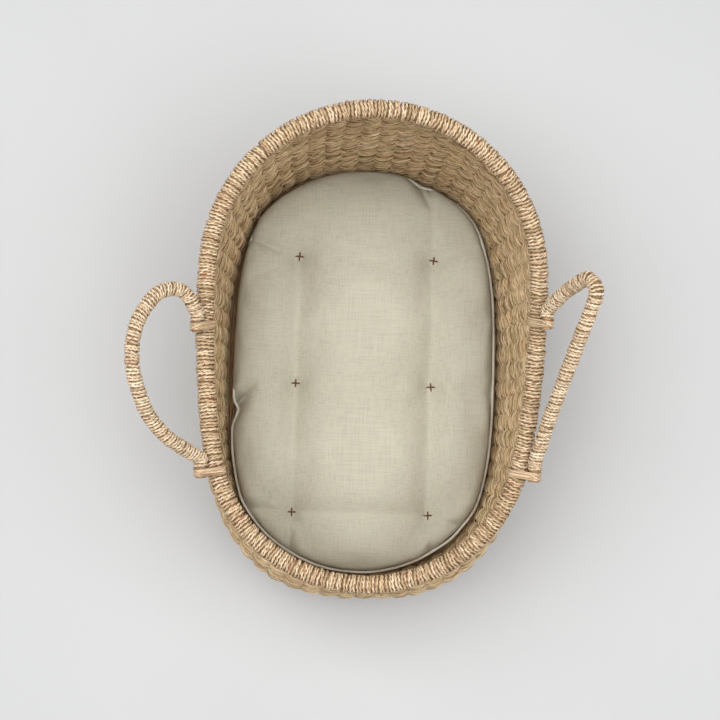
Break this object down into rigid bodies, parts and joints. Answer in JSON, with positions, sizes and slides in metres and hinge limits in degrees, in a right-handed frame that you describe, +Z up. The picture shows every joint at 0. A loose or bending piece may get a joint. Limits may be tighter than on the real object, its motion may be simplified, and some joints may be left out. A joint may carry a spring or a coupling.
{
  "type": "moses basket",
  "caption": "Oval woven seagrass basket with a raised head end, a wrapped rim, rope handles on both sides and a tufted linen mattress that lifts out.",
  "frame": {"origin": "on the floor under the middle of the base", "axes": "+Z up, +Y towards the raised head end, +X to the right of someone at the foot"},
  "size_m": [0.5661, 0.6171, 0.3908],
  "materials": {
    "base_weave": "woven seagrass, matt",
    "straw_rope": "twined seagrass rope, matt",
    "stakes": "dried stalks, matt",
    "wall_weave": "woven dried seagrass with olive and reddish-brown strands, matt",
    "straw_bundle": "bundled dried stalks, matt",
    "rim_wrapping": "tightly wrapped twisted seagrass, matt",
    "handle_wrapping": "tightly wrapped pale seagrass, slightly silky",
    "lashing": "crossed seagrass strands, matt",
    "linen": "fine plain-woven putty linen, matt",
    "linen_piping": "folded linen edge, matt",
    "filling": "soft white filling, matt",
    "tuft_thread": "thick dark brown cotton thread, matt"
  },
  "bodies": {
    "basket": {"base_mat": "base_weave", "base_edge_twining": "straw_rope", "warp_stakes": "stakes", "wall_outer_weave": "wall_weave", "wall_inner_weave": "wall_weave", "rim_core": "straw_bundle", "rim_wrap": "rim_wrapping", "handle_left_lashing_foot": "lashing", "handle_left_lashing_head": "lashing", "handle_right_lashing_foot": "lashing", "handle_right_lashing_head": "lashing"},
    "mattress": {"mattress_cover_top": "linen", "mattress_cover_bottom": "linen", "mattress_filling": "filling", "mattress_piping": "linen_piping", "tuft_stitches": "tuft_thread"},
    "handle_left": {"handle_left_core": "straw_bundle", "handle_left_wrap": "handle_wrapping"},
    "handle_right": {"handle_right_core": "straw_bundle", "handle_right_wrap": "handle_wrapping"}
  },
  "joints": [
    {"name": "mattress_lift", "type": "slide", "parent": "basket", "child": "mattress", "axis": [0, 0, 1], "range_m": [0, 0.36]},
    {"name": "handle_left_swing", "type": "hinge", "parent": "basket", "child": "handle_left", "pos_m": [-0.20636, -0.1398, 0.26662], "axis": [-0.0467, 0.9783, 0.2021], "range_deg": [-65, 62]},
    {"name": "handle_right_swing", "type": "hinge", "parent": "basket", "child": "handle_right", "pos_m": [0.20749, -0.13338, 0.26783], "axis": [-0.0375, -0.9788, -0.2011], "range_deg": [-88, 40]}
  ]
}
